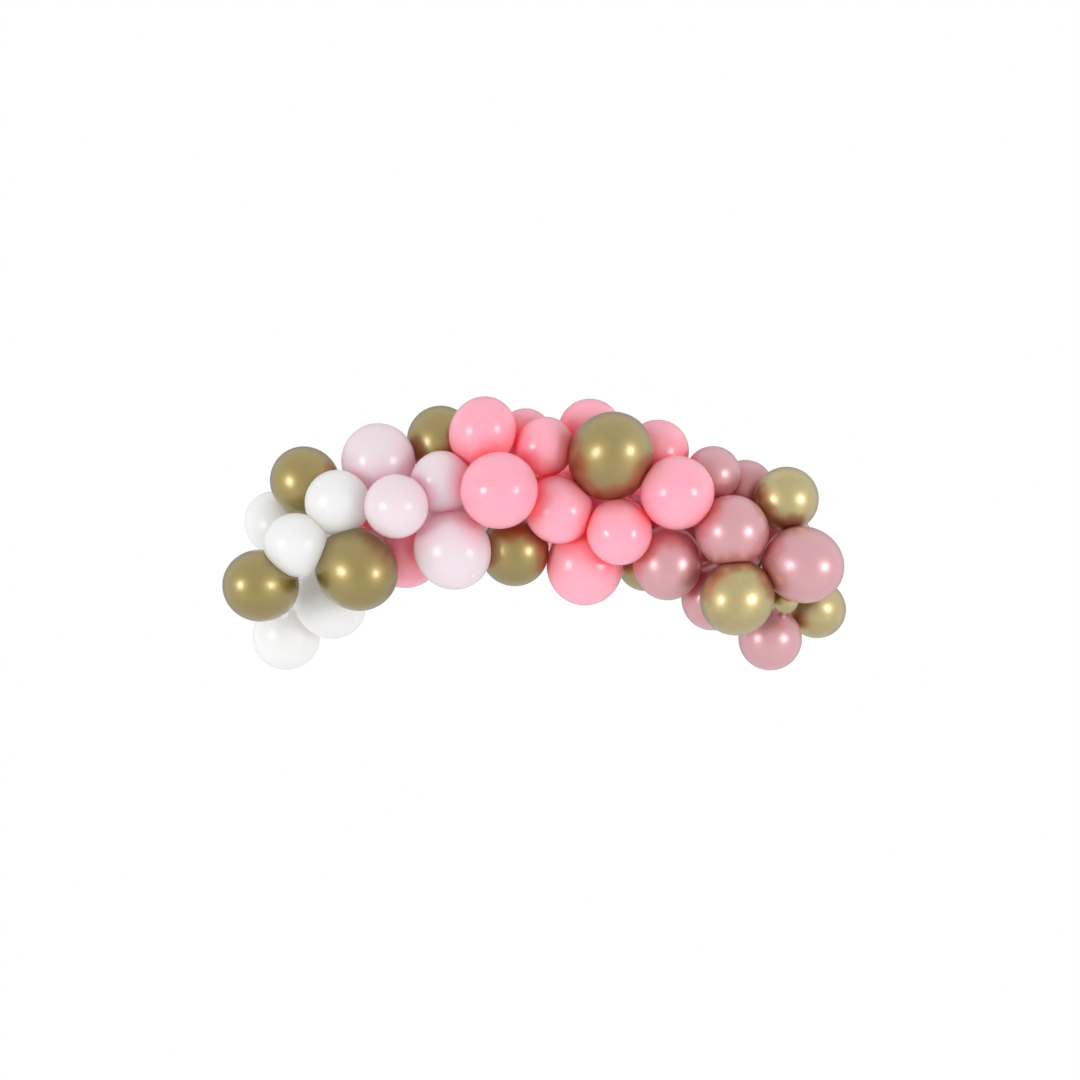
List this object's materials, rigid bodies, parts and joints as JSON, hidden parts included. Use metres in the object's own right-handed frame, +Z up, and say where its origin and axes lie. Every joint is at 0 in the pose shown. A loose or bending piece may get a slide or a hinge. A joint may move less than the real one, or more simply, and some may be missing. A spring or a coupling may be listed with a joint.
{
  "type": "balloon garland",
  "caption": "Arched garland of round latex balloons in white, blush, pink, pearl rose and gold, each tied by its neck into a perforated plastic strip.",
  "frame": {"origin": "middle of the back face of the garland strip, at the top of its arch, where the garland is hung", "axes": "+X along the garland to the right as seen from the front, +Y to the back, +Z up"},
  "size_m": [1.9938, 0.6495, 0.8746],
  "materials": {
    "clear_plastic": "clear perforated plastic tape",
    "white_latex": "matt white latex, soft sheen",
    "blush_latex": "pale blush latex, soft sheen",
    "pink_latex": "bubblegum pink latex, soft sheen",
    "pearl_rose_latex": "pearl rose latex, broad satin highlights",
    "chrome_gold_latex": "chrome gold latex, blurred mirror"
  },
  "bodies": {
    "root": {"garland_strip": "clear_plastic", "white_balloon_1": "white_latex", "gold_balloon_1": "chrome_gold_latex", "white_balloon_2": "white_latex", "white_balloon_3": "white_latex", "white_balloon_4": "white_latex", "white_balloon_5": "white_latex", "gold_balloon_2": "chrome_gold_latex", "gold_balloon_3": "chrome_gold_latex", "white_balloon_6": "white_latex", "pink_balloon_1": "pink_latex", "pink_balloon_2": "pink_latex", "blush_balloon_1": "blush_latex", "blush_balloon_2": "blush_latex", "blush_balloon_3": "blush_latex", "blush_balloon_4": "blush_latex", "blush_balloon_5": "blush_latex", "gold_balloon_4": "chrome_gold_latex", "pink_balloon_3": "pink_latex", "pink_balloon_4": "pink_latex", "pink_balloon_5": "pink_latex", "gold_balloon_5": "chrome_gold_latex", "pink_balloon_6": "pink_latex", "pink_balloon_7": "pink_latex", "pink_balloon_8": "pink_latex", "pink_balloon_9": "pink_latex", "pink_balloon_10": "pink_latex", "pink_balloon_11": "pink_latex", "gold_balloon_6": "chrome_gold_latex", "pink_balloon_12": "pink_latex", "pink_balloon_13": "pink_latex", "pink_balloon_14": "pink_latex", "gold_balloon_7": "chrome_gold_latex", "pink_balloon_15": "pink_latex", "rose_balloon_1": "pearl_rose_latex", "rose_balloon_2": "pearl_rose_latex", "rose_balloon_3": "pearl_rose_latex", "rose_balloon_4": "pearl_rose_latex", "rose_balloon_5": "pearl_rose_latex", "gold_balloon_8": "chrome_gold_latex", "rose_balloon_6": "pearl_rose_latex", "rose_balloon_7": "pearl_rose_latex", "rose_balloon_8": "pearl_rose_latex", "gold_balloon_9": "chrome_gold_latex", "rose_balloon_9": "pearl_rose_latex", "gold_balloon_10": "chrome_gold_latex", "gold_balloon_11": "chrome_gold_latex", "rose_balloon_10": "pearl_rose_latex"}
  },
  "joints": []
}
